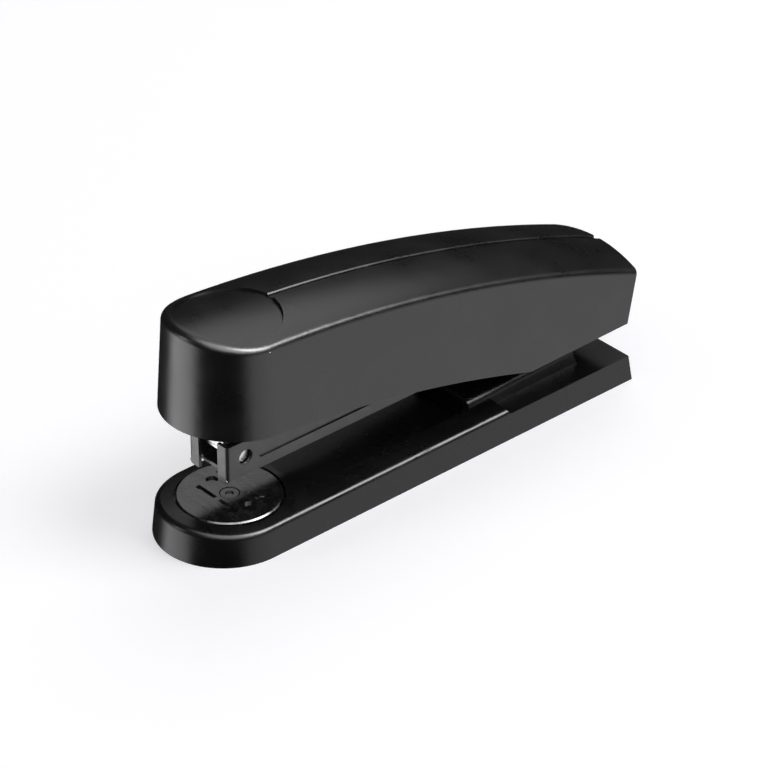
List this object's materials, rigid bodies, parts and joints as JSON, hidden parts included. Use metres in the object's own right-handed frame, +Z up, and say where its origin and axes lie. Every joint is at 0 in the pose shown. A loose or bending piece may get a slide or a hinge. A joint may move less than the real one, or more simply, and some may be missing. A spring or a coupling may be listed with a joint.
{
  "type": "stapler",
  "caption": "Desk stapler with an arched plastic handle, a steel magazine on a rear hinge, and a long base with a turning anvil at its rounded nose.",
  "frame": {"origin": "centre of the base's footprint, on the surface it stands on", "axes": "+Z up, +Y towards the hinged tail, -Y towards the nose where the paper goes in, +X across"},
  "size_m": [0.039, 0.1547, 0.0668],
  "materials": {
    "black_plastic": "fine satin moulded black plastic",
    "sole_rubber": "soft matt black",
    "black_steel": "satin black lacquer on folded steel",
    "black_nickel": "dark glossy plated steel",
    "zinc_steel": "bright zinc plate",
    "spring_steel": "drawn spring wire and strip",
    "staple_wire": "galvanised wire",
    "blade_steel": "ground hardened steel"
  },
  "bodies": {
    "base": {"base_shell": "black_plastic", "base_sole": "sole_rubber", "base_arm": "zinc_steel", "base_screws": "zinc_steel", "hinge_bracket": "black_steel", "bracket_rivets": "zinc_steel", "hinge_pin": "zinc_steel", "pin_rings": "spring_steel", "lift_spring": "spring_steel", "anvil_rivet": "black_nickel", "anvil_washer": "spring_steel"},
    "anvil": {"anvil_disc": "black_nickel"},
    "magazine": {"magazine_channel": "black_steel", "staple_rail": "zinc_steel", "staple_strip": "staple_wire", "pusher_rod": "zinc_steel", "pusher_spring": "spring_steel", "spring_stop": "zinc_steel", "handle_spring": "spring_steel"},
    "pusher": {"pusher": "zinc_steel"},
    "handle": {"handle_shell": "black_plastic", "handle_lever": "black_steel", "driver_blade": "blade_steel", "blade_rivets": "zinc_steel", "lever_screws": "zinc_steel"}
  },
  "joints": [
    {"name": "magazine_hinge", "type": "hinge", "parent": "base", "child": "magazine", "pos_m": [0, 0.0603, 0.025], "axis": [1, 0, 0], "range_deg": [0, 4.1], "stiffness_Nm_per_rad": 1, "springref_deg": -14.9, "deforming": ["lift_spring"]},
    {"name": "handle_hinge", "type": "hinge", "parent": "magazine", "child": "handle", "pos_m": [0, 0.0603, 0.025], "axis": [1, 0, 0], "range_deg": [-60, 3.8], "deforming": ["handle_spring"]},
    {"name": "pusher_slide", "type": "slide", "parent": "magazine", "child": "pusher", "axis": [0, 1, 0], "range_m": [0, 0.034], "stiffness_N_per_m": 40, "springref_m": -0.05, "deforming": ["pusher_spring"]},
    {"name": "anvil_turn", "type": "hinge", "parent": "base", "child": "anvil", "pos_m": [0, -0.0544, 0.0093], "axis": [0, 0, 1], "continuous": true}
  ]
}
